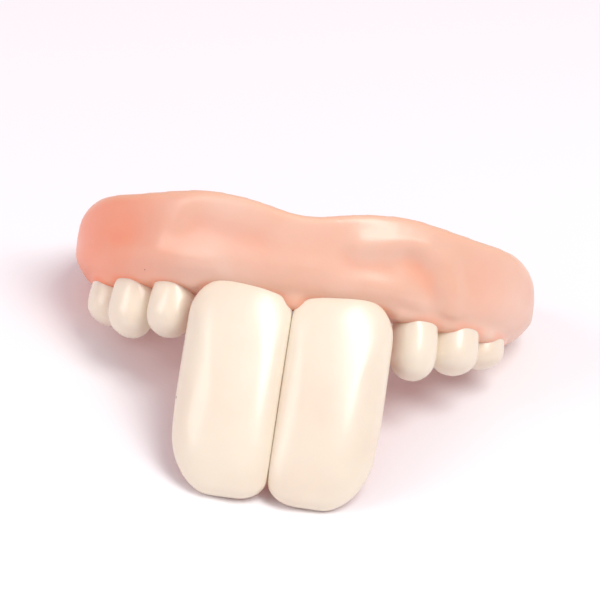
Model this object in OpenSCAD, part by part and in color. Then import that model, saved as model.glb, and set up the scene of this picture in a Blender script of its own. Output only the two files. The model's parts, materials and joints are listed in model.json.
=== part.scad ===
// Novelty denture with two oversized front teeth.
// One soft gum moulding, a U-shaped trough that slips over the wearer's own teeth, carries
// eight cream tooth skins. The gum fills each skin from behind and shows at the tooth's back.
//
// The parts are drawn in the mouth frame: x to the viewer's right, y from the lips towards the
// throat, z from the tooth tips towards the gum rim, with the gum line near z = 0. at_rest()
// then lays the whole denture on a flat surface, on its two long teeth and the two heels of
// the arch. Directions are in degrees from straight ahead, which is -y, towards +x.

/* [Arch] */
// Half the distance between the two heels, on the trough's centreline
arch_half = 24; // [21:0.5:28]
// How far the front of the centreline lies ahead of the heels
arch_reach = 20; // [17:0.5:23]
// Direction, from straight ahead, at which the wide front arc meets the tighter side arcs
arc_change = 45; // [35:1:55]

/* [Trough] */
// Half the trough's width where its rounded bottom meets the walls
trough_half = 6.6; // [5.6:0.1:7.8]
// How much further out the walls stand at the rim
flare = 0.8; // [0:0.1:1.5]
// Thickness of the walls
wall = 2.0; // [1.5:0.1:2.6]
// Thickness of the bottom, under the biting edge
floor_t = 2.3; // [1.6:0.1:3]
// Height of the lip side's rim above the gum line
rim_h = 11.2; // [9.8:0.1:14]
// Slope of the rim down towards the heels
rim_slope = 3; // [1:0.5:6]
// Depth of the notch in the rim at the middle of the lip
notch_d = 1.2; // [0:0.1:2]
// Height of the two swells in the rim beside the notch
swell_h = 0.7; // [0:0.1:1.2]
// How far the rim falls round the outside of each heel
heel_drop = 4; // [0:0.5:5]

/* [Grip holes] */
// Diameter of the three holes through the tongue side's wall
hole_d = 3.8; // [2.5:0.1:4.5]
// Height of the hole centres above the gum line
hole_h = 6; // [5:0.25:7.5]
// Direction, from straight ahead, of each side hole
hole_turn = 42; // [30:1:55]

/* [Long front teeth] */
// Width of each long tooth
incisor_w = 12.9; // [10.5:0.1:16]
// Length of each long tooth, with the part under the gum
incisor_l = 27.2; // [22:0.1:33]
// Thickness of each long tooth at its middle
incisor_t = 5; // [4:0.1:6]
// How far the face curves back at its edges
incisor_bow = 2.2; // [1.2:0.1:2.6]
// Forward lean of the long teeth
incisor_lean = 7; // [3:1:12]
// Turn of each long tooth away from straight ahead
incisor_turn = 3; // [0:1:8]
// Gap between the two long teeth
incisor_gap = 0.1; // [0.05:0.05:0.5]

/* [Small teeth] */
// Width of the small teeth, from the long teeth back to the heel
small_w = [5.8, 6.4, 6.0]; // [4.8:0.1:6.8]
// Length of the viewer's left small teeth, with the part under the gum
left_small_l = [7.8, 8.2, 6.6]; // [4:0.1:10]
// Length of the viewer's right small teeth, with the part under the gum
right_small_l = [8.9, 7.2, 5.5]; // [4:0.1:10]
// Gap between neighbouring small teeth
small_gap = 0.2; // [0.1:0.05:0.5]
// Gap between a long tooth's outer edge and the first small tooth, which stands behind it
first_gap = 1.0; // [0.6:0.1:1.5]
// Outward lean of the small teeth
small_lean = 6; // [0:1:10]

/* [Tooth skins] */
// Thickness of the cream skin on the front and sides of every tooth
skin = 0.9; // [0.6:0.05:1.2]
// Space left between a skin and the gum that holds it
seam = 0.02; // [0.01:0.01:0.05]

/* [Hidden] */
gum_pink = [0.95, 0.71, 0.62];
tooth_cream = [0.98, 0.94, 0.86];
$fn = 96;
past = 1;            // how far a cut runs past the surface that it opens
left = -1;
right = 1;

// Centreline: a wide front arc and two tighter side arcs that share its tangents.
radius_change = (arch_half - arch_reach) / (sin(arc_change) + cos(arc_change) - 1);
side_r = arch_half - radius_change * sin(arc_change);
front_r = side_r + radius_change;
front_centre = [0, front_r - arch_reach];
side_centre = [arch_half - side_r, 0];

// Trough section: how far out, and how high above the gum line.
bottom_z = -1;
spring_z = bottom_z + trough_half;
cavity_half = trough_half - wall;
cavity_spring_z = bottom_z + floor_t + cavity_half;
section_top = rim_h + 5;
wall_slope = flare / (rim_h - spring_z);
arc_steps = 12;
rim_steps = 40;
swell_x = 13;
swell_spread = 6;
notch_spread = 5;

// Necks of the teeth, covered by the lip side of the rounded bottom.
neck_z = 1;
neck_cover = 0.6;
neck_out = sqrt(pow(trough_half, 2) - pow(spring_z - neck_z, 2)) - neck_cover;
small_back = 1.1;    // from a small tooth's axis to its flat back
neck_share = 0.88;   // a small tooth's neck, as a share of its widest
belly_share = 0.4;   // where a small tooth is widest, along its length
tooth_out = neck_out - neck_share * small_w[1] / 2;
front_run = (front_r + tooth_out) * arc_change * PI / 180;

// Elliptical corners of a long tooth's outline, as [across, along].
tip_outer = [0.52, 0.34];
tip_inner = [0.20, 0.12];
neck_outer = [0.24, 0.10];
neck_inner = [0.22, 0.08];
corner_steps = 8;
face_r = (pow(incisor_w / 2, 2) + pow(incisor_bow, 2)) / (2 * incisor_bow);
profile_bow = 1.5;   // how far a long tooth's face curves back at its neck and tip
profile_r = (pow(incisor_l / 2, 2) + pow(profile_bow, 2)) / (2 * profile_bow);
face_span = 50;      // degrees of the ring that the face is cut from
incisor_back = incisor_t - profile_bow - arch_reach - neck_out;

// The first small tooth: its axis keeps a reach from the outer back corner of the long tooth.
first_corner = incisor_point([incisor_w, 0, 0]);
corner_ahead = front_centre.y - first_corner.y;
corner_r = sqrt(pow(first_corner.x, 2) + pow(corner_ahead, 2));
first_reach = small_w[0] / 2 + first_gap;
first_turn = atan2(first_corner.x, corner_ahead)
    + between_radii(front_r + tooth_out, corner_r, first_reach);
first_run = (front_r + tooth_out) * first_turn * PI / 180;

// Rest position: the pitch at which the long tips and the heels touch the surface together.
tip_edge = [for (q = incisor_outline(0)) incisor_point([q.x, 0, q.y])];
face_edge = [for (q = incisor_outline(0)) incisor_point([q.x, face_y(q), q.y])];
pitch = rest_pitch(15, 80, 24);
lift = -heel_height(pitch);
heel_rim = rim_at(arch_half) - rim_fall(0);
heel_out = (trough_half + wall_slope * (heel_rim - spring_z)) / (1 + wall_slope * tan(rim_slope));
heel_edge = [for (a = [30:5:150])
    [arch_half + heel_out * cos(a), heel_out * sin(a),
        rim_at(arch_half + heel_out * cos(a)) - rim_fall(heel_out * sin(a))]];
back_y = max([for (p = heel_edge) depth_at(p, pitch)]);
front_y = min([for (p = face_edge) depth_at(p, pitch)]);

// Height and depth of a point once the mouth frame is tipped forward.
function height_at(p, tip) = p.z * cos(tip) - p.y * sin(tip);
function depth_at(p, tip) = p.y * cos(tip) + p.z * sin(tip);
function tip_height(tip) = min([for (p = tip_edge) height_at(p, tip)]);
function heel_height(tip) = height_at([0, 0, spring_z], tip) - trough_half;

// Halves the range that holds the rest pitch until it is narrow enough.
function rest_pitch(low, high, steps) =
    let (middle = (low + high) / 2)
    steps == 0 ? middle
    : tip_height(middle) > heel_height(middle) ? rest_pitch(low, middle, steps - 1)
    : rest_pitch(middle, high, steps - 1);

// Unit vector in a direction, and the points of an arc in a section.
function ahead(turn) = [sin(turn), -cos(turn)];
function arc(r, z, from, to, steps) =
    [for (i = [0:steps]) let (a = from + (to - from) * i / steps) [r * cos(a), z + r * sin(a)]];

// Height of the rim above the gum line at the lip, before it slopes towards the heels.
function rim_at(x) =
    rim_h - notch_d * exp(-pow(x / notch_spread, 2))
    + swell_h * exp(-pow((abs(x) - swell_x) / swell_spread, 2))
    - heel_drop * pow(max(0, abs(x) - arch_half) / (trough_half + flare), 2);

// Drop of the rim at a place y, from its height at the lip.
function rim_fall(y) = (y + arch_reach + trough_half + flare) * tan(rim_slope);

// Direction and place of a small tooth, from its run along the arch at the tooth line.
function run_turn(run) =
    run < front_run ? run / (front_r + tooth_out) * 180 / PI
    : arc_change + (run - front_run) / (side_r + tooth_out) * 180 / PI;
function run_place(run) =
    run < front_run ? front_centre + (front_r + tooth_out) * ahead(run_turn(run))
    : side_centre + (side_r + tooth_out) * ahead(run_turn(run));
function small_run(i) =
    i == 0 ? first_run : small_run(i - 1) + (small_w[i - 1] + small_w[i]) / 2 + small_gap;

// Angle at a centre between two points at radii a and b that lie a distance apart.
function between_radii(a, b, distance) =
    acos((pow(a, 2) + pow(b, 2) - pow(distance, 2)) / (2 * a * b));

// One elliptical corner of an outline between two directions, as points.
function corner(centre, radii, from) =
    [for (i = [0:corner_steps]) let (a = from + 90 * i / corner_steps)
        [centre.x + radii.x * cos(a), centre.y + radii.y * sin(a)]];

// Outline of a long tooth, inset all round: x outward from its inner edge, y up from its tip.
function incisor_outline(inset) =
    let (w = incisor_w, l = incisor_l)
    let (r = [for (c = [tip_outer, neck_outer, neck_inner, tip_inner]) [c.x * w, c.y * l]])
    let (s = [for (c = r) [c.x - inset, c.y - inset]])
    [for (q = concat(
        corner([w - r[0].x, r[0].y], s[0], -90),
        corner([w - r[1].x, l - r[1].y], s[1], 0),
        corner([r[2].x, l - r[2].y], s[2], 90),
        corner([r[3].x, r[3].y], s[3], 180))) [q.x, q.y - l]];

// Where a long tooth's bowed face lies over a point of its outline.
function face_y(q) =
    let (ring = profile_r - face_r + sqrt(pow(face_r, 2) - pow(q.x - incisor_w / 2, 2)))
    profile_r - incisor_t - sqrt(pow(ring, 2) - pow(q.y + incisor_l / 2, 2));

// A point of the right long tooth in the mouth frame: turned aside, leaning forward.
function incisor_point(p) =
    let (y = p.y * cos(incisor_lean) + p.z * sin(incisor_lean))
    let (z = p.z * cos(incisor_lean) - p.y * sin(incisor_lean))
    [p.x * cos(incisor_turn) - y * sin(incisor_turn) + incisor_gap / 2,
        p.x * sin(incisor_turn) + y * cos(incisor_turn) + incisor_back, z + neck_z];

// Mouth frame to the frame at rest: tipped forward, resting on z = 0, centred on y = 0.
module at_rest() {
    translate([0, -(front_y + back_y) / 2, lift])
        rotate([-pitch, 0, 0])
            children();
}

// Trough section out of one solid bottom and two flaring walls.
module trough_section() {
    outer = trough_half + wall_slope * (section_top - spring_z);
    polygon(concat([[outer, section_top]],
        arc(trough_half, spring_z, 0, -180, 2 * arc_steps),
        [[-outer, section_top], [wall - outer, section_top]],
        arc(cavity_half, cavity_spring_z, -180, 0, 2 * arc_steps),
        [[outer - wall, section_top]]));
}

// Outer half of the section, which a heel turns about its own centre.
module heel_section() {
    outer = trough_half + wall_slope * (section_top - spring_z);
    polygon(concat([[outer, section_top]],
        arc(trough_half, spring_z, 0, -90, arc_steps),
        arc(cavity_half, cavity_spring_z, -90, 0, arc_steps),
        [[outer - wall, section_top]]));
}

// Sweeps the section along an arc of the centreline between two directions.
module sweep_section(centre, radius, from, to) {
    translate(centre)
        rotate([0, 0, from - 90])
            rotate_extrude(angle = to - from)
                translate([radius, 0])
                    trough_section();
}

module heel() {
    translate([arch_half, 0])
        rotate_extrude(angle = 180)
            heel_section();
}

// Everything above the wavy rim, which slopes down from the lip towards the heels.
module above_rim() {
    reach = arch_half + trough_half + flare + past;
    lip_y = -(arch_reach + trough_half + flare);
    wave = [for (i = [-rim_steps:rim_steps])
        [reach * i / rim_steps, rim_at(reach * i / rim_steps) * cos(rim_slope)]];
    translate([0, lip_y, 0])
        rotate([90 - rim_slope, 0, 0])
            translate([0, 0, -2 * reach])
                linear_extrude(2 * reach + section_top)
                    polygon(concat(wave, [[reach, 2 * section_top], [-reach, 2 * section_top]]));
}

module grip_hole(turn) {
    translate(front_centre + front_r * ahead(turn))
        translate([0, 0, hole_h])
            rotate([-90, 0, turn])
                cylinder(d = hole_d, h = trough_half + flare + past);
}

module trough() {
    difference() {
        union() {
            sweep_section(front_centre, front_r, -arc_change, arc_change);
            sweep_section(side_centre, side_r, arc_change, 90);
            mirror([1, 0, 0])
                sweep_section(side_centre, side_r, arc_change, 90);
            heel();
            mirror([1, 0, 0])
                heel();
        }
        above_rim();
        for (turn = [-hole_turn, 0, hole_turn])
            grip_hole(turn);
    }
}

// A long tooth's form: an outline with a bowed face, y = 0 at its flat back.
// inset thins it all round, and back lets it run on behind the flat back.
module incisor_form(inset, back) {
    intersection() {
        translate([0, back, 0])
            rotate([90, 0, 0])
                linear_extrude(incisor_t + back + past)
                    polygon(incisor_outline(inset));
        translate([incisor_w / 2, profile_r - incisor_t, -incisor_l / 2])
            rotate([-90, 0, 0])
                rotate([0, 90, 0])
                    rotate([0, 0, -face_span / 2])
                        rotate_extrude(angle = face_span)
                            translate([profile_r - face_r, 0])
                                circle(r = face_r - inset);
    }
}

module place_incisor(side) {
    mirror([side == left ? 1 : 0, 0, 0])
        translate([incisor_gap / 2, incisor_back, neck_z])
            rotate([0, 0, incisor_turn])
                rotate([-incisor_lean, 0, 0])
                    children();
}

// A small tooth's form: a barrel with a rounded tip, cut flat behind its axis.
module small_form(w, l, inset, back) {
    half = w / 2 - inset;
    belly = belly_share * l;
    crown = l - belly - inset;
    side_wall = [for (i = [0:corner_steps]) let (t = 1 - i / corner_steps)
        [half * (1 - (1 - neck_share) * t * t), -inset - (belly - inset) * (1 - t)]];
    crown_wall = [for (i = [1:corner_steps]) let (a = 90 * i / corner_steps)
        [half * cos(a), -belly - crown * sin(a)]];
    intersection() {
        rotate_extrude()
            polygon(concat([[0, -inset]], side_wall, crown_wall));
        translate([-w, -w, -2 * l])
            cube([2 * w, w + small_back + back, 3 * l]);
    }
}

module place_small(side, i) {
    run = small_run(i);
    mirror([side == left ? 1 : 0, 0, 0])
        translate(run_place(run))
            translate([0, 0, neck_z])
                rotate([-small_lean, 0, run_turn(run)])
                    children();
}

function small_length(side, i) = side == left ? left_small_l[i] : right_small_l[i];

// The forms of all the teeth, thinned by an inset or grown by a negative one.
module all_teeth(inset) {
    for (side = [left, right]) {
        place_incisor(side)
            incisor_form(inset, 0);
        for (i = [0:2])
            place_small(side, i)
                small_form(small_w[i], small_length(side, i), inset, 0);
    }
}

module gum_base() {
    color(gum_pink)
        at_rest() {
            difference() {
                trough();
                all_teeth(-seam);
            }
            all_teeth(skin + seam);
        }
}

// The cream skin of a long tooth, open at its flat back.
module incisor(side) {
    color(tooth_cream)
        at_rest()
            place_incisor(side)
                difference() {
                    incisor_form(0, 0);
                    incisor_form(skin, past);
                }
}

// The cream skin of a small tooth, counted from the long teeth back to the heel.
module small_tooth(side, i) {
    color(tooth_cream)
        at_rest()
            place_small(side, i)
                difference() {
                    small_form(small_w[i], small_length(side, i), 0, 0);
                    small_form(small_w[i], small_length(side, i), skin, past);
                }
}

module left_central_incisor() { incisor(left); }
module right_central_incisor() { incisor(right); }
module left_small_tooth_1() { small_tooth(left, 0); }
module left_small_tooth_2() { small_tooth(left, 1); }
module left_small_tooth_3() { small_tooth(left, 2); }
module right_small_tooth_1() { small_tooth(right, 0); }
module right_small_tooth_2() { small_tooth(right, 1); }
module right_small_tooth_3() { small_tooth(right, 2); }

gum_base();
left_central_incisor();
right_central_incisor();
left_small_tooth_1();
left_small_tooth_2();
left_small_tooth_3();
right_small_tooth_1();
right_small_tooth_2();
right_small_tooth_3();
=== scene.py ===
# %% [markdown]
# # A gag denture in soft vinyl
#
# The toy is two castings. Cream vinyl fills the tooth hollows of a mould as a thin skin, then
# pink vinyl is poured over it and makes everything else: the gum trough and the filling behind
# each tooth. So this scene makes one pink piece and eight cream skins, and takes their places
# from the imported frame.

# %% Load the frame
import json
import math

import bmesh
import bpy
from mathutils import Matrix, Vector
from mathutils.bvhtree import BVHTree


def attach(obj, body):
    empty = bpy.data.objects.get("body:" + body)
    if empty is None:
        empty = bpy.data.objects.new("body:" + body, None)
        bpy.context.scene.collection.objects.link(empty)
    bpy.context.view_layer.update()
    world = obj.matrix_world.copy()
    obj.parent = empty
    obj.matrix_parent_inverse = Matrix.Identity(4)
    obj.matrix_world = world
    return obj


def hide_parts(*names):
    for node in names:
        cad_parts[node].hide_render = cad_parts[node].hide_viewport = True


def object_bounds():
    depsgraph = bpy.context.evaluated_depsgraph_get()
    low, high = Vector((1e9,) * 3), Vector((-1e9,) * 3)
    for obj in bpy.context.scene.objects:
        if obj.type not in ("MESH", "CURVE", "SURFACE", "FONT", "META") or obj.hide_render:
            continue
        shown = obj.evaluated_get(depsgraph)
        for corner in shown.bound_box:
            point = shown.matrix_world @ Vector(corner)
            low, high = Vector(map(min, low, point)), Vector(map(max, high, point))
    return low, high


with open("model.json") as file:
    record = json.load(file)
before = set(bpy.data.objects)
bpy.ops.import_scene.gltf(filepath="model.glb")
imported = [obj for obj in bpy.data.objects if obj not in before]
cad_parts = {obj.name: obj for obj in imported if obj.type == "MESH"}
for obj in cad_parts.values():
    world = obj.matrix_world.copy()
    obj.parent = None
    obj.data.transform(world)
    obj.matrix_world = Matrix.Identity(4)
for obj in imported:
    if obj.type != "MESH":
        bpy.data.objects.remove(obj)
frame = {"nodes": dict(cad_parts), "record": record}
cad_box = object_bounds()
mount = {m["name"]: m for m in frame["record"]["mounts"]}["middle_hole"]
print("CAD nodes:", len(frame["nodes"]), "box:", cad_box)

# %% [markdown]
# ## One drawing, tipped into place
#
# A dental arch is easiest to draw as it sits in a mouth: x across, y from the lips to the
# throat, z from the tooth tips up to the gum's rim, in millimetres. The finished denture lies
# tipped forward on its long teeth and its two heels. The middle hole of the frame says how far:
# its axis ran along y before the denture was tipped, so one rotation and one shift carry every
# piece from the mouth to its place at rest.

# %% The arch's sizes, in millimetres
arch_half = 24.0
arch_reach = 20.0
arc_change = math.radians(45)
trough_half = 6.6
flare = 0.8
wall = 2.0
floor_t = 2.3
bottom_z = -1.0
rim_h = 11.2
hole_r = mount["dims"]["r_mm"]
hole_h = 6.0
hole_turn = math.radians(42)
spring_z = bottom_z + trough_half
cavity_half = trough_half - wall
cavity_spring_z = bottom_z + floor_t + cavity_half
wall_slope = flare / (rim_h - spring_z)

radius_change = (arch_half - arch_reach) / (math.sin(arc_change) + math.cos(arc_change) - 1)
side_r = arch_half - radius_change * math.sin(arc_change)
front_r = side_r + radius_change
front_centre = Vector((0, front_r - arch_reach, 0))
side_centre = Vector((arch_half - side_r, 0, 0))
heel_centre = Vector((arch_half, 0, 0))

# %% From the mouth to the place at rest
hole_axis = Vector(mount["axis"])
pitch = math.atan2(-hole_axis.z, hole_axis.y)
hole_out = trough_half + wall_slope * (hole_h - spring_z) - wall / 2
hole_middle = Vector((0, hole_out - arch_reach, hole_h))
tip_over = Matrix.Rotation(-pitch, 4, "X") @ Matrix.Scale(0.001, 4)
to_rest = Matrix.Translation(Vector(mount["pos_m"]) - tip_over @ hole_middle) @ tip_over
print("tipped by", round(math.degrees(pitch), 2), "degrees")


def rest(mesh):
    """Carries a mesh from the mouth to its place at rest, in metres."""
    mesh.transform(to_rest)
    mesh.update()


# %% [markdown]
# ## Where a point is along the arch
#
# Relief, rim height and colour all follow the arch, so one helper gives a point's direction
# round the arch and how far outside its centreline it lies: positive on the lip side, negative
# on the tongue side.

# %% Arch coordinates
def ahead(turn):
    return Vector((math.sin(turn), -math.cos(turn), 0))


def off_centreline(x, y):
    """Direction round the arch, and distance to the lip side of its centreline."""
    x = abs(x)
    if y > 0:
        away = math.hypot(x - heel_centre.x, y)
        return math.pi / 2, away if x > heel_centre.x else -away
    turn = math.atan2(x - side_centre.x, -y)
    if turn >= arc_change:
        return turn, math.hypot(x - side_centre.x, y) - side_r
    turn = math.atan2(x, front_centre.y - y)
    return turn, math.hypot(x, y - front_centre.y) - front_r


def ramp(value, low, high):
    """Smooth step from 0 at low to 1 at high."""
    t = min(1.0, max(0.0, (value - low) / (high - low)))
    return t * t * (3 - 2 * t)


def bell(value, width):
    return math.exp(-(value / width) ** 2)


print("front arc radius", round(front_r, 1), "side arc radius", round(side_r, 1))

# %% [markdown]
# ## The trough
#
# The gum is a U-shaped gutter bent round the arch. The way to make one is to draw its section
# once, as a closed ring of vertices, and spin it: round the front arc's centre, round the side
# arc's centre, then half a turn round the heel. A mirror makes the other side. The rims are
# rounded in the section itself, because a cast vinyl edge has no corner anywhere.

# %% The section of the trough
def arc_points(radius, centre_z, start, end, steps):
    points = []
    for i in range(steps + 1):
        a = math.radians(start + (end - start) * i / steps)
        points.append((radius * math.cos(a), centre_z + radius * math.sin(a)))
    return points


def half_section():
    """Points from the bottom's middle up the outside, over the rim, down to the floor."""
    outer = arc_points(trough_half, spring_z, -90, 0, 10)
    inner = arc_points(cavity_half, cavity_spring_z, 0, -90, 8)
    rim_out = trough_half + wall_slope * (rim_h - wall / 2 - spring_z)
    rim = []
    for out, z in arc_points(wall / 2, rim_h - wall / 2, 0, 180, 6):
        rim.append((out + rim_out - wall / 2, z))
    walls = []
    for i in range(1, 4):
        t = i / 4
        walls.append((trough_half + t * (rim_out - trough_half),
                      spring_z + t * (rim_h - wall / 2 - spring_z)))
    inner_walls = [(out - wall, z) for out, z in reversed(walls)]
    return outer + walls + rim + inner_walls + inner


section = half_section()
print("half section:", len(section), "points")


# %% Spin the section round the arch
def spun(bm, geometry, centre, turn, steps):
    result = bmesh.ops.spin(bm, geom=geometry, cent=centre, axis=(0, 0, 1),
                            angle=turn, steps=steps, use_duplicate=False)
    return result["geom_last"]


def spin_trough():
    bm = bmesh.new()
    ring = section + [(-out, z) for out, z in reversed(section[1:-1])]
    verts = [bm.verts.new((0, -arch_reach - out, z)) for out, z in ring]
    edges = [bm.edges.new((verts[i - 1], verts[i])) for i in range(len(verts))]
    last = spun(bm, verts + edges, front_centre, arc_change, 14)
    last = spun(bm, last, side_centre, math.pi / 2 - arc_change, 10)
    lip_verts = [v for v in last if isinstance(v, bmesh.types.BMVert)
                 and v.co.x > heel_centre.x - 0.001]
    lip_edges = [e for e in last if isinstance(e, bmesh.types.BMEdge)
                 and all(v in lip_verts for v in e.verts)]
    spun(bm, lip_verts + lip_edges, heel_centre, math.pi, 20)
    bmesh.ops.remove_doubles(bm, verts=bm.verts, dist=0.01)
    bmesh.ops.mirror(bm, geom=bm.verts[:] + bm.edges[:] + bm.faces[:],
                     axis="X", merge_dist=0.01)
    bmesh.ops.remove_doubles(bm, verts=bm.verts, dist=0.01)
    bmesh.ops.recalc_face_normals(bm, faces=bm.faces)
    if bm.calc_volume(signed=True) < 0:
        bmesh.ops.reverse_faces(bm, faces=bm.faces)
    return bm


trough = spin_trough()
print("trough:", len(trough.faces), "faces, open edges:",
      sum(1 for e in trough.edges if not e.is_manifold),
      "volume:", round(trough.calc_volume(signed=True)), "cubic mm")

# %% [markdown]
# ## A rim that rises and falls
#
# The lip side's rim dips at the middle, where a real denture clears the small cord of flesh
# behind the lip, and swells on either side of it. It slopes down a little towards the heels and
# falls away round their outside. The rounded rim moves up or down whole, and the wall below it
# stretches or shortens to follow. A shortened wall gives back its share of the flare, so the
# heels end in a smooth round.

# %% Shape the rim
rim_slope = math.tan(math.radians(3))
notch_d = 1.2
notch_spread = 5
swell_h = 0.7
swell_x = 13
swell_spread = 6
tongue_side_drop = 0.4
heel_fall = 5.2
heel_fall_x = 25.0
heel_fall_reach = 6.3
rear_fall = 1.3
wall_foot_z = 2.5


def rim_at(x, y, out):
    """Height of the rim above the gum line; the heels' fall is a quarter of an ellipse."""
    lip = ramp(out, -2, 2)
    drop = (y + arch_reach + trough_half + flare) * rim_slope
    wave = swell_h * bell(abs(x) - swell_x, swell_spread) - notch_d * bell(x, notch_spread)
    outside = min(0.98, max(0.0, abs(x) - heel_fall_x) / heel_fall_reach)
    heel = heel_fall * (1 - math.sqrt(1 - outside ** 2)) + rear_fall * ramp(y, 0, 9)
    return rim_h - drop - heel + lip * wave - (1 - lip) * tongue_side_drop


def from_centreline(x, y):
    """Unit vector that points straight away from the arch's centreline."""
    turn, out = off_centreline(x, y)
    if y > 0:
        away = Vector((abs(x) - heel_centre.x, y, 0)).normalized()
    else:
        away = math.copysign(1, out) * ahead(turn)
    return Vector((math.copysign(away.x, x * away.x), away.y, 0))


for v in trough.verts:
    if v.co.z > wall_foot_z:
        out = off_centreline(v.co.x, v.co.y)[1]
        share = min(1.0, (v.co.z - wall_foot_z) / (rim_h - wall - wall_foot_z))
        fall = (rim_h - rim_at(v.co.x, v.co.y, out)) * share
        v.co.z -= fall
        v.co -= from_centreline(v.co.x, v.co.y) * wall_slope * max(0.0, fall)
print("rim from", round(min(rim_at(x, 0, 6) for x in (20, 30)), 1), "to",
      round(rim_at(13, -arch_reach, 6), 1), "mm above the gum line")

# %% [markdown]
# ## The form of a tooth
#
# Every tooth here is a pillow: an outline like a rectangle with four round corners, a full face,
# sides that turn back smoothly, and a flat back. One helper makes them all. It starts with a
# square grid and sends each of the grid's nested squares to a smaller copy of the outline, so
# the face has even quads and no pole where the light would pinch. A power says how suddenly the
# face turns back: 2 is an ellipse and 8 is nearly a box.

# %% Outline and pillow
def outline_point(shape, a, b, shrink):
    """Where a tooth's outline lies for a point (a, b) of the outline of a square."""
    half_w, half_l = shape["w"] / 2 - shrink, shape["l"] / 2 - shrink
    corner = ("outer" if a > 0 else "inner") + ("_neck" if b > 0 else "_tip")
    rx, rz = shape[corner][0] - shrink, shape[corner][1] - shrink
    x, z = abs(a) * half_w, abs(b) * half_l
    u, v = 1 - (half_w - x) / rx, 1 - (half_l - z) / rz
    if u > 0 and v > 0:
        x += rx * (u / math.hypot(u, v) - u)
        z += rz * (v / math.hypot(u, v) - v)
    ends = shape["tip_taper" if b < 0 else "neck_taper"] * (z / half_l) ** 2
    if a > 0 or not shape["straight_inner"]:
        x *= 1 - ends
    return math.copysign(x, a), math.copysign(z, b)


def edge_power(shape, across, along):
    """How suddenly the face turns back, at a place of the outline."""
    power = shape["edge"]
    power += (shape["inner_edge"] - power) * ramp(-across, 0.0, 0.9)
    return power + (shape["neck_edge"] - power) * ramp(along, 0.55, 1.0)


def pillow(shape, shrink, steps):
    """A bmesh of a tooth's front and sides, open at its flat back, which is y = 0."""
    bm = bmesh.new()
    bmesh.ops.create_grid(bm, x_segments=steps, y_segments=steps, size=1)
    for v in bm.verts:
        square = max(abs(v.co.x), abs(v.co.y), 0.001)
        x, z = outline_point(shape, v.co.x / square, v.co.y / square, shrink)
        power = edge_power(shape, 2 * x / shape["w"], 2 * z / shape["l"])
        angle = min(square, 1.0) * math.pi / 2
        x *= math.sin(angle) ** (2 / power)
        z *= math.sin(angle) ** (2 / power)
        forward = max(0.0, math.cos(angle)) ** (2 / power)
        across, along = 2 * x / shape["w"], 2 * z / shape["l"]
        depth = shape["t"] - shrink - shape["bow"] * across ** 2 - shape["sag"] * along ** 2
        v.co = (x, -depth * forward, z)
    return bm


def closed_pillow(shape, shrink, back):
    """The same form as a closed solid, whose flat back lies at y = back."""
    bm = pillow(shape, shrink, 20)
    rim = [e for e in bm.edges if e.is_boundary]
    grown = bmesh.ops.extrude_edge_only(bm, edges=rim)["geom"]
    for v in grown:
        if isinstance(v, bmesh.types.BMVert):
            v.co.y = back
    bmesh.ops.holes_fill(bm, edges=[e for e in bm.edges if e.is_boundary])
    bmesh.ops.recalc_face_normals(bm, faces=bm.faces)
    return bm


print("tooth forms ready")

# %% [markdown]
# ## The eight teeth
#
# The two long teeth stand at the middle, each turned a little outward and leaning forward.
# Three short, round teeth follow on each side, set along the arch one after the other. Their
# sizes differ a little from side to side, as they do on a hand-cut mould.

# %% Sizes and places of the teeth
neck_z = 1.0
neck_cover = 0.6
neck_out = math.sqrt(trough_half ** 2 - (spring_z - neck_z) ** 2) - neck_cover
small_w = (5.8, 6.4, 6.0)
small_l = {"left": (7.8, 8.2, 6.6), "right": (8.9, 7.2, 5.5)}
small_gap = 0.2
first_gap = 1.0
small_back = 1.1
small_lean = math.radians(6)
small_swell = 1.1
neck_share = 0.88
incisor_lean = math.radians(7)
incisor_turn = math.radians(3)
profile_bow = 1.5
midline_overlap = 0.25
incisor = dict(w=13.2, l=27.2, t=5.0, bow=1.7, sag=1.4, edge=3.3, inner_edge=5.5,
               neck_edge=10, tip_taper=0.17, neck_taper=0.02, outer_tip=(6.0, 7.2),
               inner_tip=(4.0, 3.4), outer_neck=(4.8, 4.8), inner_neck=(4.6, 3.6),
               straight_inner=True)
tooth_out = neck_out - neck_share * small_w[1] / 2
tooth_r = front_r + tooth_out
front_run = tooth_r * arc_change


def along_arch(run):
    """Place and direction of a small tooth from its run along the tooth line."""
    if run < front_run:
        turn = run / tooth_r
        return front_centre + tooth_r * ahead(turn), turn
    turn = arc_change + (run - front_run) / (side_r + tooth_out)
    return side_centre + (side_r + tooth_out) * ahead(turn), turn


def small_shape(w, l):
    """A short tooth is a little wider than its pitch, so neighbours bulge against each other."""
    tip, neck = (w * 0.5, l * 0.34), (w * 0.40, l * 0.30)
    return dict(w=w * small_swell, l=l, t=w / 2 + small_back, bow=0.5, sag=0.1, edge=2.5,
                inner_edge=2.5, neck_edge=4.0, tip_taper=0.02, neck_taper=0.12,
                outer_tip=tip, inner_tip=tip, outer_neck=neck, inner_neck=neck,
                straight_inner=False)


def incisor_place():
    """A shear turns the face aside and leaves the inner wall upright, just over the midline."""
    back_y = incisor["t"] - profile_bow - arch_reach - neck_out
    shear = Matrix.Identity(4)
    shear[1][0] = math.tan(incisor_turn)
    return (Matrix.Translation((-midline_overlap, back_y, neck_z))
            @ shear
            @ Matrix.Rotation(-incisor_lean, 4, "X")
            @ Matrix.Translation((incisor["w"] / 2, 0, -incisor["l"] / 2)))


def small_place(run, length):
    place, turn = along_arch(run)
    return (Matrix.Translation(place + Vector((0, 0, neck_z)))
            @ Matrix.Rotation(turn, 4, "Z")
            @ Matrix.Rotation(-small_lean, 4, "X")
            @ Matrix.Translation((0, small_back, -length / 2)))


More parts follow.
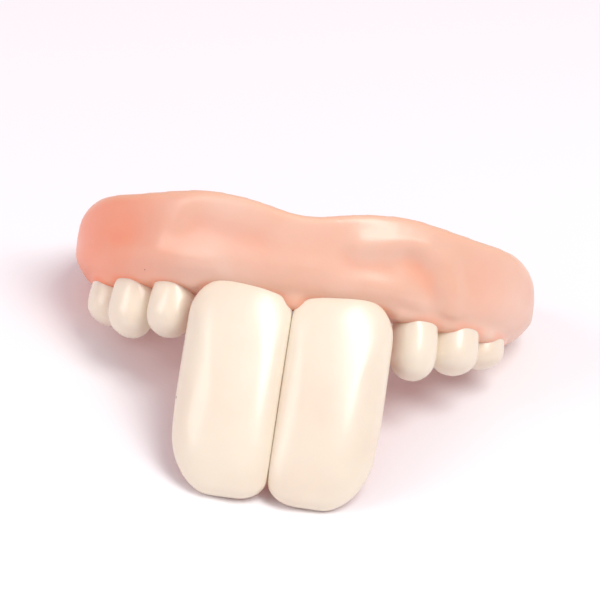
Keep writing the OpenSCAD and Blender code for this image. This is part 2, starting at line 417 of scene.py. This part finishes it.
def first_small_run():
    """The first small tooth keeps its gap from the long tooth's outer back corner."""
    corner = incisor_place() @ Vector((incisor["w"] / 2, 0, incisor["l"] / 2))
    corner_r = math.hypot(corner.x, front_centre.y - corner.y)
    reach = small_w[0] / 2 + first_gap
    between = (tooth_r ** 2 + corner_r ** 2 - reach ** 2) / (2 * tooth_r * corner_r)
    turn = math.atan2(corner.x, front_centre.y - corner.y) + math.acos(between)
    return tooth_r * turn


teeth = []
small_runs = [first_small_run()]
for w, next_w in zip(small_w, small_w[1:]):
    small_runs.append(small_runs[-1] + (w + next_w) / 2 + small_gap)
mirror_x = Matrix.Scale(-1, 4, (1, 0, 0))
sides = (("left", mirror_x), ("right", Matrix.Identity(4)))
for side, flip in sides:
    teeth.append((side + "_central_incisor", incisor, flip @ incisor_place()))
    for i, (w, length, run) in enumerate(zip(small_w, small_l[side], small_runs)):
        place = flip @ small_place(run, length)
        teeth.append((f"{side}_small_tooth_{i + 1}", small_shape(w, length), place))
print("teeth:", [name for name, shape, place in teeth])

# %% [markdown]
# ## One pink casting
#
# The filling behind the teeth, the roll of gum round their necks and the trough were one pour,
# so they have to flow into each other. The trough is drilled first, while it is a simple closed
# shell. Overlapping solids are then joined and voxel remeshed, which keeps only their common
# outer surface. A few rounds of smoothing turn every joint into the soft fillet that liquid
# vinyl leaves. The roll is a string of pearls: ellipsoids set so close together that they melt
# into one bead, which arches over each long tooth and runs straight above the short ones.

# %% Solids to join to the trough
skin = 0.9
filling_inset = 0.6
filling_back = -0.25
incisor_pearls = 17
inner_sag = 2.2
outer_sag = 1.1
small_pearls = 25
roll_out = 2.5
roll_start = 3.6
roll_end = 3.0
roll_heights = {"left": (0.9, 0.7, 0.0), "right": (0.3, 0.0, -0.3)}
papilla_radii = (1.5, 1.15, 1.5)


def add_solid(target, bm, place):
    """Copies a closed form into the target, the right way out, and frees it."""
    bm.transform(place)
    if place.determinant() < 0:
        bmesh.ops.reverse_faces(bm, faces=bm.faces)
    mesh = bpy.data.meshes.new("part")
    bm.to_mesh(mesh)
    bm.free()
    target.from_mesh(mesh)
    bpy.data.meshes.remove(mesh)


def pearl(bm, centre, turn, radii):
    """An ellipsoid, turned about the upright so that its second radius points outwards."""
    place = (Matrix.Translation(centre) @ Matrix.Rotation(turn, 4, "Z")
             @ Matrix.Diagonal((*radii, 1.0)))
    bmesh.ops.create_uvsphere(bm, u_segments=14, v_segments=8, radius=1, matrix=place)


def incisor_roll(bm, flip):
    """Pearls that arch over a long tooth's neck, lowest at the midline."""
    for i in range(incisor_pearls):
        s = 2 * i / (incisor_pearls - 1) - 1
        drop = 0.3 + (inner_sag if s < 0 else outer_sag) * abs(s) ** 2.4
        depth = incisor["t"] - incisor["bow"] * s * s - incisor["sag"]
        power = incisor["inner_edge"] if s < 0 else incisor["edge"]
        depth *= (1 - abs(0.97 * s) ** power) ** (1 / power)
        at = Vector((s * incisor["w"] / 2, 0.75 - depth, incisor["l"] / 2 + 0.85 - drop))
        pearl(bm, flip @ incisor_place() @ at, 0, (1.0, 1.05, 1.0))


def small_roll(bm, flip, heights):
    """Pearls above the short teeth, at heights given for the run's start, middle and end."""
    first = small_runs[0] - roll_start
    last = small_runs[2] + roll_end
    for i in range(small_pearls):
        t = i / (small_pearls - 1)
        place, turn = along_arch(first + (last - first) * t)
        low = heights[0] + (heights[1] - heights[0]) * ramp(t, 0.0, 0.5)
        low += (heights[2] - heights[1]) * ramp(t, 0.5, 1.0)
        thin = 1 - 0.25 * ramp(t, 0.85, 1.0)
        centre = place + (roll_out - tooth_out) * ahead(turn) + Vector((0, 0, low))
        pearl(bm, flip @ centre, math.copysign(turn, flip[0][0]), (1.0, 2.1 * thin, 1.25 * thin))


def rolls():
    """All the rolls, with the small papilla between the two long teeth."""
    bm = bmesh.new()
    for side, flip in sides:
        incisor_roll(bm, flip)
        small_roll(bm, flip, roll_heights[side])
    pearl(bm, Vector((0, -arch_reach - 2.9, -0.2)), 0, papilla_radii)
    return bm


def hole_cutters():
    """Three pegs through the tongue side's wall."""
    bm = bmesh.new()
    for turn in (-hole_turn, 0, hole_turn):
        centre = front_centre + (front_r - trough_half) * ahead(turn)
        centre.z = hole_h
        along = Matrix.Rotation(turn, 4, "Z") @ Matrix.Rotation(math.radians(90), 4, "X")
        bmesh.ops.create_cone(bm, cap_ends=True, segments=40, radius1=hole_r,
                              radius2=hole_r, depth=3.5 * wall,
                              matrix=Matrix.Translation(centre) @ along)
    return bm


def new_object(name, bm):
    mesh = bpy.data.meshes.new(name)
    bm.to_mesh(mesh)
    bm.free()
    obj = bpy.data.objects.new(name, mesh)
    bpy.context.scene.collection.objects.link(obj)
    return obj


def apply_modifiers(obj):
    """Replaces an object's mesh with the result of its modifiers."""
    seen = obj.evaluated_get(bpy.context.evaluated_depsgraph_get())
    done = bpy.data.meshes.new_from_object(seen)
    old = obj.data
    obj.modifiers.clear()
    obj.data = done
    bpy.data.meshes.remove(old)


gum = new_object("gum_moulding", trough)
cutters = new_object("hole_cutters", hole_cutters())
drill = gum.modifiers.new("holes", "BOOLEAN")
drill.operation = "DIFFERENCE"
drill.object = cutters
drill.solver = "MANIFOLD"
apply_modifiers(gum)
bpy.data.objects.remove(cutters)
print("drilled trough:", len(gum.data.polygons), "faces")

# %% Melt everything into one surface
voxel = 0.34
casting = bmesh.new()
casting.from_mesh(gum.data)
for name, shape, place in teeth:
    add_solid(casting, closed_pillow(shape, filling_inset, filling_back), place)
add_solid(casting, rolls(), Matrix.Identity(4))
casting.to_mesh(gum.data)
casting.free()
melt = gum.modifiers.new("melt", "REMESH")
melt.mode = "VOXEL"
melt.voxel_size = voxel
apply_modifiers(gum)
print("casting:", len(gum.data.polygons), "faces")

# %% [markdown]
# ## Modelling the gum's face
#
# The sculptor of the mould gave the lip side a hooked fold on the right with a crease inside it,
# a soft upright swell on the left, and a roll along the teeth. Each is a ridge or a groove along
# a short run of points, given by its place across the mouth and its height, and it pushes the
# surface out or in along its own normals. Listed points are enough, because the bell
# profile blends them.

# %% Ridges and grooves of the lip side
ridges = [
    # height, width, then points as (x, height above the gum line)
    (0.78, 1.6, [(7.3, 7.3), (11.4, 8.3), (15.4, 8.5), (18, 7.0), (19.2, 3.7), (19.3, 1.7)]),
    (-0.50, 1.3, [(13.5, 6.8), (15.9, 4.8), (17.6, 2.6)]),
    (0.30, 1.3, [(4.5, 1.6), (8.6, 2.4), (12.7, 2.3), (15.5, 1.3)]),
    (-0.25, 1.5, [(6.5, 4.6), (10.5, 4.6)]),
    (-0.20, 2.0, [(22.6, 7.5), (23.4, 3.5)]),
    (0.35, 1.9, [(-15.7, 9.4), (-17.4, 6.2), (-17.8, 4.4)]),
    (0.30, 1.4, [(-24, 2.7), (-19.2, 2.9), (-15.1, 2.7), (-10.5, 2.6)]),
    (-0.30, 1.8, [(-13, 7.0), (-9, 6.2), (-5.3, 5.6)]),
    (-0.20, 2.2, [(-22.3, 7.0), (-22.6, 5.0)]),
]


def to_segment(px, pz, a, b):
    dx, dz = b[0] - a[0], b[1] - a[1]
    t = ((px - a[0]) * dx + (pz - a[1]) * dz) / (dx * dx + dz * dz)
    t = min(1.0, max(0.0, t))
    return math.hypot(px - a[0] - t * dx, pz - a[1] - t * dz)


def relief(x, z):
    """How far the lip side stands out at a place, in millimetres."""
    total = -0.15 * bell(z - 5.5, 2.4)
    for height, width, points in ridges:
        nearest = min(to_segment(x, z, a, b) for a, b in zip(points, points[1:]))
        total += height * bell(nearest, width)
    return total


print("relief strokes:", len(ridges))


# %% Smooth, raise the relief and mark where shade and light are painted
def smooth(bm, rounds, verts=None):
    for _ in range(rounds):
        bmesh.ops.smooth_vert(bm, verts=verts or bm.verts, factor=0.5,
                              use_axis_x=True, use_axis_y=True, use_axis_z=True)


def tooth_tree():
    """A search tree over all the teeth, to tell how near a tooth the gum is."""
    bm = bmesh.new()
    for name, shape, place in teeth:
        add_solid(bm, closed_pillow(shape, 0, 0), place)
    tree = BVHTree.FromBMesh(bm)
    bm.free()
    return tree


def model_gum(mesh):
    tree = tooth_tree()
    bm = bmesh.new()
    bm.from_mesh(mesh)
    smooth(bm, 5)
    bm.normal_update()
    # Painted shade: the creases of the relief, a line where the gum meets the teeth, and the
    # left end.
    painted_shade = bm.verts.layers.float.new("painted_shade")
    # Painted shade deep inside the trough.
    painted_trough_shade = bm.verts.layers.float.new("painted_trough_shade")
    # Painted light: a paler pink along the rim's top.
    rim = bm.verts.layers.float.new("rim")
    pushes = []
    for v in bm.verts:
        x, y, z = v.co
        turn, out = off_centreline(x, y)
        outward = Vector((math.copysign(math.sin(turn), x), -math.cos(turn), 0))
        facing = ramp(v.normal.dot(outward), 0.1, 0.6)
        lip = facing * ramp(out, 2.5, 4.5) * ramp(z, 0.0, 1.2)
        top = rim_at(x, y, out)
        lip *= 1 - ramp(z, top - 1.6, top - 0.4)
        raised = relief(x, z) if lip > 0 else 0.0
        pushes.append((v, v.normal * (lip * raised)))
        # Painted shade along the gum's edge where it meets a tooth.
        near = tree.find_nearest(v.co, 1.0)[3] if z < 4 else None
        tooth_contact_shade = 0.0 if near is None else 1 - near
        tooth_contact_shade *= ramp(out, 0.5, 2.5) * (1 - ramp(z, 0.0, 1.1))
        # Painted shade that deepens towards the left end.
        left_end_shade = ramp(-x, 10, 31)
        v[painted_shade] = 0.5 * lip * max(0.0, -raised) + 0.5 * tooth_contact_shade + left_end_shade
        # Painted shade in the trough, deepest far below the rim and on inward-facing walls.
        deep = ramp(top - z, 0.5, 8)
        in_trough = 1 - ramp(abs(out), cavity_half + 0.2, cavity_half + 1.1)
        inward = -v.normal.dot(outward) * math.copysign(1, out)
        v[painted_trough_shade] = deep * in_trough * max(ramp(inward, 0, 0.4), ramp(v.normal.z, 0.1, 0.5))
        # Painted light along the rim's top.
        v[rim] = ramp(z, top - 1.5, top - 0.2) * ramp(z, 4, 7)
    for v, push in pushes:
        v.co += push
    smooth(bm, 2)
    bm.to_mesh(mesh)
    bm.free()


model_gum(gum.data)
for polygon in gum.data.polygons:
    polygon.use_smooth = True
rest(gum.data)
print("gum:", len(gum.data.vertices), "vertices")

# %% [markdown]
# ## The cream skins
#
# Each skin is the pillow form again, as a sheet with a thickness. Solidify grows it inward by
# the skin's thickness, so the outside keeps the tooth's size and the back shows the thin cream
# edge round the pink filling. A level of subdivision rounds that edge. The long teeth were cut
# as one block with a groove, so what reaches over the midline is pressed flat against it.

# %% Make the tooth skins
def tooth_skin(name, shape, place):
    steps = 36 if shape is incisor else 22
    bm = pillow(shape, 0, steps)
    bm.transform(place)
    if place.determinant() < 0:
        bmesh.ops.reverse_faces(bm, faces=bm.faces)
    half = math.copysign(1, place.translation.x)
    for v in bm.verts:
        v.co.x = half * max(0.01, half * v.co.x)
    obj = new_object(name + "_skin", bm)
    shell = obj.modifiers.new("skin", "SOLIDIFY")
    shell.thickness = skin
    shell.offset = -1
    shell.use_even_offset = True
    fine = obj.modifiers.new("round", "SUBSURF")
    fine.levels = 1
    fine.render_levels = 1
    apply_modifiers(obj)
    for polygon in obj.data.polygons:
        polygon.use_smooth = True
    rest(obj.data)
    return obj


skins = {}
for name, shape, place in teeth:
    skins[name] = tooth_skin(name, shape, place)
    print(name, len(skins[name].data.polygons), "faces")

# %% [markdown]
# ## Shared surface effects
#
# Soft vinyl is never one flat colour. The plasticiser clouds it in soft patches, the mould
# leaves a fine orange-peel grain, and a few dark specks of dust are cast in. The same effects
# serve both colours of vinyl, so each is a node group, built once and placed with its own
# values.

# %% Node group helpers
def new_group(name, inputs, outputs):
    group = bpy.data.node_groups.new(name, "ShaderNodeTree")
    for socket, kind, value in inputs:
        made = group.interface.new_socket(socket, in_out="INPUT", socket_type=kind)
        made.default_value = value
    for socket, kind in outputs:
        group.interface.new_socket(socket, in_out="OUTPUT", socket_type=kind)
    nodes = group.nodes
    return group, nodes, nodes.new("NodeGroupInput"), nodes.new("NodeGroupOutput")


def add_node(nodes, kind, **settings):
    node = nodes.new(kind)
    for key, value in settings.items():
        setattr(node, key, value)
    return node


def mix_colours(nodes, links, factor, first, second, blend="MIX"):
    """A colour mix node with its three inputs linked or set; returns its result socket."""
    mix = add_node(nodes, "ShaderNodeMix", data_type="RGBA", blend_type=blend)
    for socket, value in ((mix.inputs[0], factor), (mix.inputs[6], first),
                          (mix.inputs[7], second)):
        if isinstance(value, bpy.types.NodeSocket):
            links.new(value, socket)
        else:
            socket.default_value = value
    return mix.outputs[2]


print("helpers ready")

# %% Cloudiness of the vinyl
def make_clouding():
    group, nodes, enter, leave = new_group(
        "vinyl_clouding",
        [("Clear", "NodeSocketColor", (1, 1, 1, 1)),
         ("Cloudy", "NodeSocketColor", (1, 1, 1, 1)),
         ("Patch Scale", "NodeSocketFloat", 160.0)],
        [("Color", "NodeSocketColor")])
    links = group.links
    where = nodes.new("ShaderNodeTexCoord")
    broad = add_node(nodes, "ShaderNodeTexNoise", noise_dimensions="3D")
    broad.inputs["Detail"].default_value = 3.0
    broad.inputs["Roughness"].default_value = 0.55
    links.new(where.outputs["Object"], broad.inputs["Vector"])
    links.new(enter.outputs["Patch Scale"], broad.inputs["Scale"])
    spread = nodes.new("ShaderNodeMapRange")
    spread.inputs["From Min"].default_value = 0.35
    spread.inputs["From Max"].default_value = 0.68
    links.new(broad.outputs["Fac"], spread.inputs["Value"])
    colour = mix_colours(nodes, links, spread.outputs["Result"], enter.outputs["Clear"],
                         enter.outputs["Cloudy"])
    links.new(colour, leave.inputs["Color"])
    return group


# %% Grain and specks
def make_grain():
    group, nodes, enter, leave = new_group(
        "cast_grain",
        [("Fine Scale", "NodeSocketFloat", 2600.0),
         ("Ripple Scale", "NodeSocketFloat", 320.0),
         ("Ripple Share", "NodeSocketFloat", 0.6)],
        [("Height", "NodeSocketFloat"), ("Roughness Change", "NodeSocketFloat")])
    links = group.links
    where = nodes.new("ShaderNodeTexCoord")
    fine = add_node(nodes, "ShaderNodeTexNoise", noise_dimensions="3D")
    fine.inputs["Detail"].default_value = 2.0
    ripple = add_node(nodes, "ShaderNodeTexNoise", noise_dimensions="3D")
    ripple.inputs["Detail"].default_value = 1.5
    for node, scale in ((fine, "Fine Scale"), (ripple, "Ripple Scale")):
        links.new(where.outputs["Object"], node.inputs["Vector"])
        links.new(enter.outputs[scale], node.inputs["Scale"])
    blend = add_node(nodes, "ShaderNodeMix", data_type="FLOAT")
    links.new(enter.outputs["Ripple Share"], blend.inputs[0])
    links.new(fine.outputs["Fac"], blend.inputs[2])
    links.new(ripple.outputs["Fac"], blend.inputs[3])
    links.new(blend.outputs[0], leave.inputs["Height"])
    change = nodes.new("ShaderNodeMapRange")
    change.inputs["To Min"].default_value = -0.06
    change.inputs["To Max"].default_value = 0.06
    links.new(ripple.outputs["Fac"], change.inputs["Value"])
    links.new(change.outputs["Result"], leave.inputs["Roughness Change"])
    return group


def make_specks():
    group, nodes, enter, leave = new_group(
        "cast_in_specks",
        [("Spacing Scale", "NodeSocketFloat", 260.0), ("Size", "NodeSocketFloat", 0.05),
         ("Keep", "NodeSocketFloat", 0.9)],
        [("Mask", "NodeSocketFloat")])
    links = group.links
    where = nodes.new("ShaderNodeTexCoord")
    cells = add_node(nodes, "ShaderNodeTexVoronoi", voronoi_dimensions="3D")
    links.new(where.outputs["Object"], cells.inputs["Vector"])
    links.new(enter.outputs["Spacing Scale"], cells.inputs["Scale"])
    near = add_node(nodes, "ShaderNodeMath", operation="LESS_THAN")
    links.new(cells.outputs["Distance"], near.inputs[0])
    links.new(enter.outputs["Size"], near.inputs[1])
    chosen = add_node(nodes, "ShaderNodeMath", operation="GREATER_THAN")
    parts = nodes.new("ShaderNodeSeparateColor")
    links.new(cells.outputs["Color"], parts.inputs["Color"])
    links.new(parts.outputs["Red"], chosen.inputs[0])
    links.new(enter.outputs["Keep"], chosen.inputs[1])
    both = add_node(nodes, "ShaderNodeMath", operation="MULTIPLY")
    links.new(near.outputs["Value"], both.inputs[0])
    links.new(chosen.outputs["Value"], both.inputs[1])
    links.new(both.outputs["Value"], leave.inputs["Mask"])
    return group


clouding = make_clouding()
grain = make_grain()
specks = make_specks()
print("groups:", clouding.name, grain.name, specks.name)

# %% [markdown]
# ## Pink gum vinyl
#
# The pink is a pale salmon. Shade is painted into it as a deeper orange inside the trough, in
# the creases, along the gum's edge at the teeth and towards the left heel, and light is painted
# onto the rim as a paler pink. The gum's own vertex values say where each lies, and subsurface
# scattering gives the soft glow.

# %% Gum material
def linear(r, g, b):
    """A colour as people quote it, from 0 to 255, to the shader's linear values."""
    parts = []
    for c in (r, g, b):
        c /= 255
        parts.append(c / 12.92 if c <= 0.04045 else ((c + 0.055) / 1.055) ** 2.4)
    return (*parts, 1.0)


def place_group(nodes, group, **values):
    node = nodes.new("ShaderNodeGroup")
    node.node_tree = group
    for key, value in values.items():
        node.inputs[key.replace("_", " ")].default_value = value
    return node


def start_material(name):
    material = bpy.data.materials.new(name)
    material.use_nodes = True
    nodes = material.node_tree.nodes
    return material, nodes, material.node_tree.links, nodes["Principled BSDF"]


def finish_surface(nodes, links, shader, grain_node, roughness, strength, distance):
    """Joins the grain to the shader's roughness and normal."""
    add = add_node(nodes, "ShaderNodeMath", operation="ADD")
    add.inputs[1].default_value = roughness
    links.new(grain_node.outputs["Roughness Change"], add.inputs[0])
    links.new(add.outputs["Value"], shader.inputs["Roughness"])
    bump = nodes.new("ShaderNodeBump")
    bump.inputs["Strength"].default_value = strength
    bump.inputs["Distance"].default_value = distance
    links.new(grain_node.outputs["Height"], bump.inputs["Height"])
    links.new(bump.outputs["Normal"], shader.inputs["Normal"])


def gum_material():
    material, nodes, links, shader = start_material("pink_gum_vinyl")
    base = place_group(nodes, clouding, Clear=linear(229, 181, 155),
                       Cloudy=linear(232, 193, 172), Patch_Scale=75.0)
    colour = base.outputs["Color"]
    # Painted shade in the creases, at the teeth and towards the left end; painted shade inside
    # the trough; painted light on the rim's top.
    tints = (("painted_shade", linear(240, 132, 90), 0.8), ("painted_trough_shade", linear(238, 130, 90), 0.85),
             ("rim", linear(240, 190, 158), 0.5))
    for name, tint, amount in tints:
        value = add_node(nodes, "ShaderNodeAttribute", attribute_name=name)
        scaled = add_node(nodes, "ShaderNodeMath", operation="MULTIPLY", use_clamp=True)
        scaled.inputs[1].default_value = amount
        links.new(value.outputs["Fac"], scaled.inputs[0])
        colour = mix_colours(nodes, links, scaled.outputs["Value"], colour, tint)
    dust = place_group(nodes, specks, Spacing_Scale=210.0, Size=0.045, Keep=0.93)
    colour = mix_colours(nodes, links, dust.outputs["Mask"], colour, linear(120, 70, 50))
    links.new(colour, shader.inputs["Base Color"])
    surface = place_group(nodes, grain, Fine_Scale=2200.0, Ripple_Scale=260.0,
                          Ripple_Share=0.75)
    finish_surface(nodes, links, shader, surface, 0.42, 0.35, 0.00012)
    shader.inputs["Subsurface Weight"].default_value = 0.3
    shader.inputs["Subsurface Radius"].default_value = (1.0, 0.45, 0.3)
    shader.inputs["Subsurface Scale"].default_value = 0.0022
    shader.inputs["Coat Weight"].default_value = 0.45
    shader.inputs["Coat Roughness"].default_value = 0.26
    return material


gum_vinyl = gum_material()
gum.data.materials.clear()
gum.data.materials.append(gum_vinyl)
print("gum material:", len(gum_vinyl.node_tree.nodes), "nodes")

# %% [markdown]
# ## Cream tooth vinyl
#
# The teeth are a warm cream that is a little greyer in soft patches. They are glossier than the
# gum, and thin enough that light softens every edge. A sparse scatter of tiny dark specks is
# cast in.

# %% Tooth material
def tooth_material():
    material, nodes, links, shader = start_material("cream_tooth_vinyl")
    base = place_group(nodes, clouding, Clear=linear(238, 227, 207),
                       Cloudy=linear(234, 219, 199), Patch_Scale=80.0)
    dust = place_group(nodes, specks, Spacing_Scale=240.0, Size=0.045, Keep=0.90)
    colour = mix_colours(nodes, links, dust.outputs["Mask"], base.outputs["Color"],
                         linear(96, 74, 60))
    links.new(colour, shader.inputs["Base Color"])
    surface = place_group(nodes, grain, Fine_Scale=3000.0, Ripple_Scale=210.0,
                          Ripple_Share=0.8)
    finish_surface(nodes, links, shader, surface, 0.36, 0.25, 0.0001)
    shader.inputs["Subsurface Weight"].default_value = 0.25
    shader.inputs["Subsurface Radius"].default_value = (1.0, 0.75, 0.5)
    shader.inputs["Subsurface Scale"].default_value = 0.0015
    shader.inputs["Coat Weight"].default_value = 0.5
    shader.inputs["Coat Roughness"].default_value = 0.2
    return material


tooth_vinyl = tooth_material()
for obj in skins.values():
    obj.data.materials.clear()
    obj.data.materials.append(tooth_vinyl)
print("tooth material:", len(tooth_vinyl.node_tree.nodes), "nodes")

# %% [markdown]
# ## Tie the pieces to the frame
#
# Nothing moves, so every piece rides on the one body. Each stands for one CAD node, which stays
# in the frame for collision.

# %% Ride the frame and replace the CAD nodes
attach(gum, "root")
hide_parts("gum_base")
for name, obj in skins.items():
    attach(obj, "root")
    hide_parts(name)
print("pieces:", 1 + len(skins))

# %% [markdown]
# ## Studio
#
# A white sheet fills the view, under a bright even sky and two large soft lights. The stronger
# one stands to the right and draws the long streak down the right tooth, and the weaker one
# keeps the left side open.

# %% Floor and light
def aim(obj, target):
    obj.rotation_euler = (Vector(target) - obj.location).to_track_quat("-Z", "Y").to_euler()


def soft_light(name, place, size, power, colour):
    data = bpy.data.lights.new(name, "AREA")
    data.shape = "RECTANGLE"
    data.size, data.size_y = size
    data.energy = power
    data.color = colour
    obj = bpy.data.objects.new(name, data)
    obj.location = place
    bpy.context.scene.collection.objects.link(obj)
    aim(obj, centre)
    return obj


low, high = cad_box
centre = (Vector(low) + Vector(high)) / 2
floor_bm = bmesh.new()
bmesh.ops.create_grid(floor_bm, x_segments=1, y_segments=1, size=1.5)
floor = new_object("floor", floor_bm)
floor_material, _, _, floor_shader = start_material("white_sheet")
floor_shader.inputs["Base Color"].default_value = (0.93, 0.92, 0.94, 1)
floor_shader.inputs["Roughness"].default_value = 0.9
floor_shader.inputs["Specular IOR Level"].default_value = 0.1
floor.data.materials.append(floor_material)

bpy.context.scene.view_settings.view_transform = "Standard"
world = bpy.data.worlds.new("sky")
bpy.context.scene.world = world
world.use_nodes = True
sky = world.node_tree.nodes["Background"]
sky.inputs["Color"].default_value = (1.0, 0.86, 0.94, 1)
sky.inputs["Strength"].default_value = 0.51
soft_light("right_softbox", (0.21, -0.12, 0.45), (0.20, 0.34), 1.75, (0.98, 1.0, 0.97))
soft_light("left_softbox", (-0.36, -0.16, 0.26), (0.20, 0.30), 0.62, (1.0, 0.97, 0.94))

# %% [markdown]
# ## Camera
#
# The camera looks down at the front from a little to the right, through a long lens. It is
# rolled by about six degrees, so the denture slopes down to the right.

# %% Place the camera
view_turn = math.radians(3)
view_rise = math.radians(38)
view_roll = math.radians(6.2)
distance = 0.42
back = Vector((math.sin(view_turn) * math.cos(view_rise),
               -math.cos(view_turn) * math.cos(view_rise), math.sin(view_rise)))
lens = bpy.data.cameras.new("camera")
lens.lens = 200
lens.sensor_width = 36
camera = bpy.data.objects.new("camera", lens)
bpy.context.scene.collection.objects.link(camera)
target = centre + Vector((0.0005, 0, 0.0005))
camera.location = target + back * distance
aim(camera, target)
camera.rotation_euler = (camera.rotation_euler.to_matrix()
                         @ Matrix.Rotation(view_roll, 3, "Z")).to_euler()
bpy.context.scene.camera = camera
print("camera at", [round(c, 3) for c in camera.location])

# %% Finish
bpy.context.view_layer.update()
